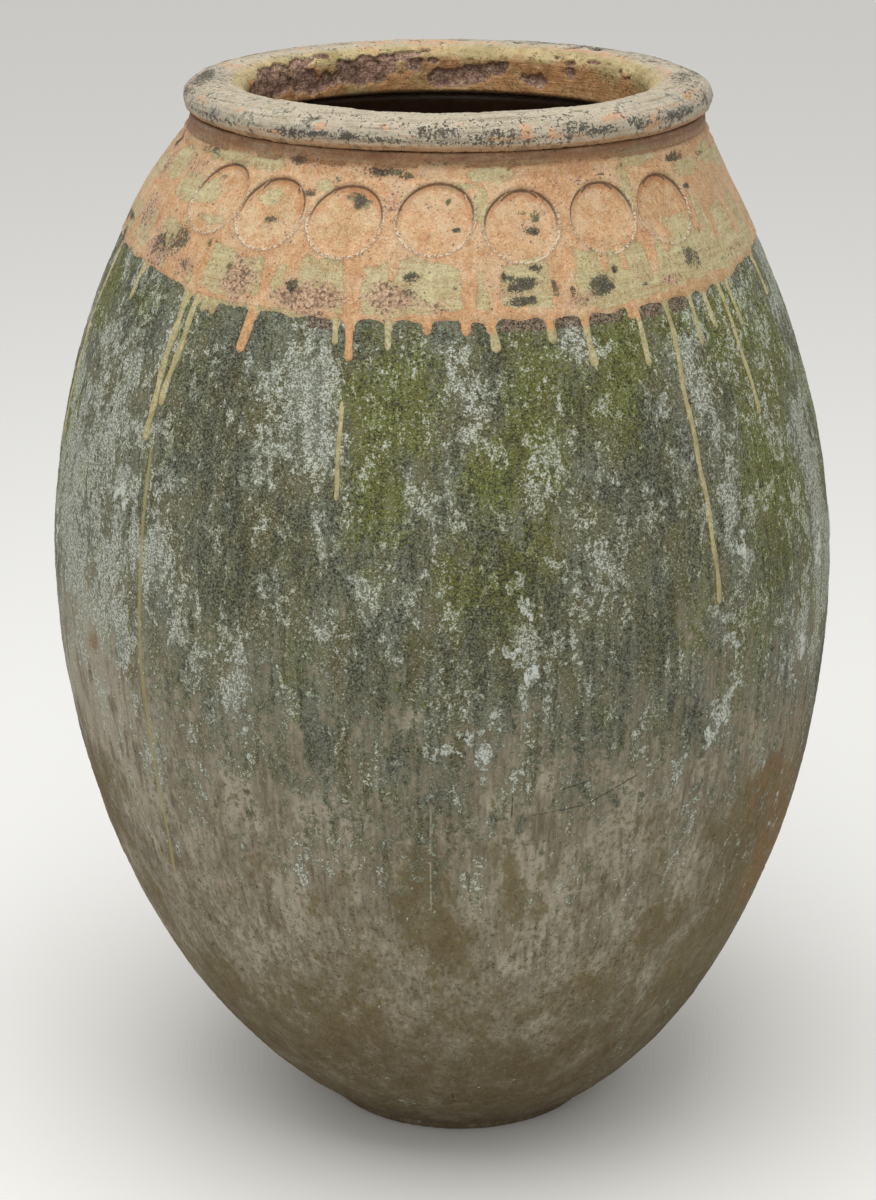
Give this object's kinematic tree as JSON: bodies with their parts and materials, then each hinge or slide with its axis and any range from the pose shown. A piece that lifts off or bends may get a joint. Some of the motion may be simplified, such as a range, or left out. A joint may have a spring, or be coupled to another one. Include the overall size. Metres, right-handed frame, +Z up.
{
  "type": "amphora",
  "caption": "Tall egg-shaped earthenware storage jar with a thick rolled rim, a glazed shoulder band with round stamps, runs of glaze and a weathered, mossy belly.",
  "frame": {"origin": "on the jar's axis at the underside of the foot, where it stands on the ground", "axes": "+Z up the jar's axis through the mouth; -Y is the front, where the row of stamps is centred; +X is to the right as seen from the front"},
  "size_m": [0.658, 0.658, 0.9],
  "materials": {
    "weathered_clay": "rough buff-grey fired clay, covered with moss, algae and lichen from the belly up",
    "shoulder_clay": "matt pinkish fired clay, bare where the glaze has worn off",
    "rim_clay": "matt cream and pink fired clay with grey lichen, black specks and chipped edges",
    "shoulder_glaze": "worn satin glaze, peach-orange slip running over olive yellow",
    "run_glaze": "thin satin runs of pale olive-yellow and orange glaze",
    "inner_glaze": "dark brown satin lining, stained and dusty"
  },
  "bodies": {
    "root": {"base_disc": "weathered_clay", "wall_course_1": "weathered_clay", "wall_course_2": "weathered_clay", "wall_course_3": "weathered_clay", "wall_course_4": "weathered_clay", "wall_course_5": "weathered_clay", "shoulder_course": "shoulder_clay", "neck_collar": "shoulder_clay", "rim_roll": "rim_clay", "shoulder_glaze": "shoulder_glaze", "glaze_runs": "run_glaze", "inner_glaze": "inner_glaze"}
  },
  "joints": []
}
